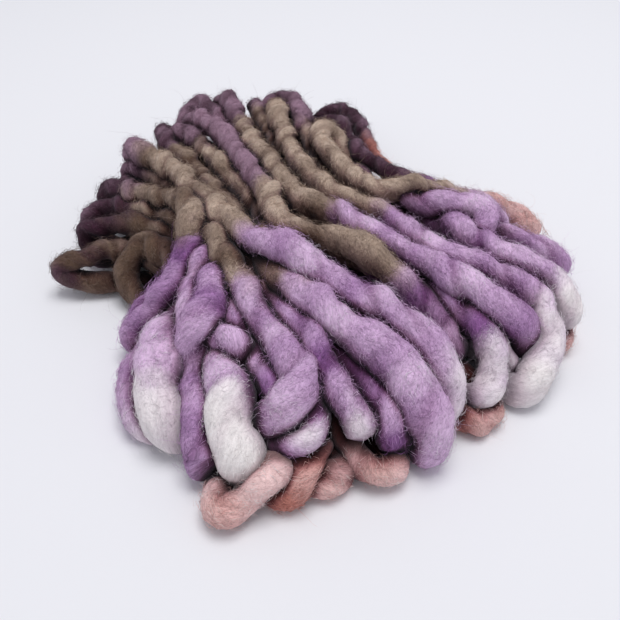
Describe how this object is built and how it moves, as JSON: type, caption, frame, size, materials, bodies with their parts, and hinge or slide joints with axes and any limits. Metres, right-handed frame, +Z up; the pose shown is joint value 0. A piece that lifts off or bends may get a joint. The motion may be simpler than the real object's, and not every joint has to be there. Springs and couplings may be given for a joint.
{
  "type": "hank of hand-dyed thick-and-thin chunky wool yarn",
  "caption": "Open hank of chunky thick-and-thin wool yarn laid flat, gathered at the waist, with loops fanning out at both ends.",
  "frame": {"origin": "centre of the hank's footprint, on the surface it lies on", "axes": "+X along the turns, from the tight plum loops to the loose lavender loops; +Y across the turns; +Z up"},
  "size_m": [0.3386, 0.2764, 0.0639],
  "materials": {
    "wool": "soft felted single-ply wool, dyed plum, taupe, lavender, cream and dusty pink by turns"
  },
  "bodies": {
    "root": {"hank": "wool"}
  },
  "joints": []
}
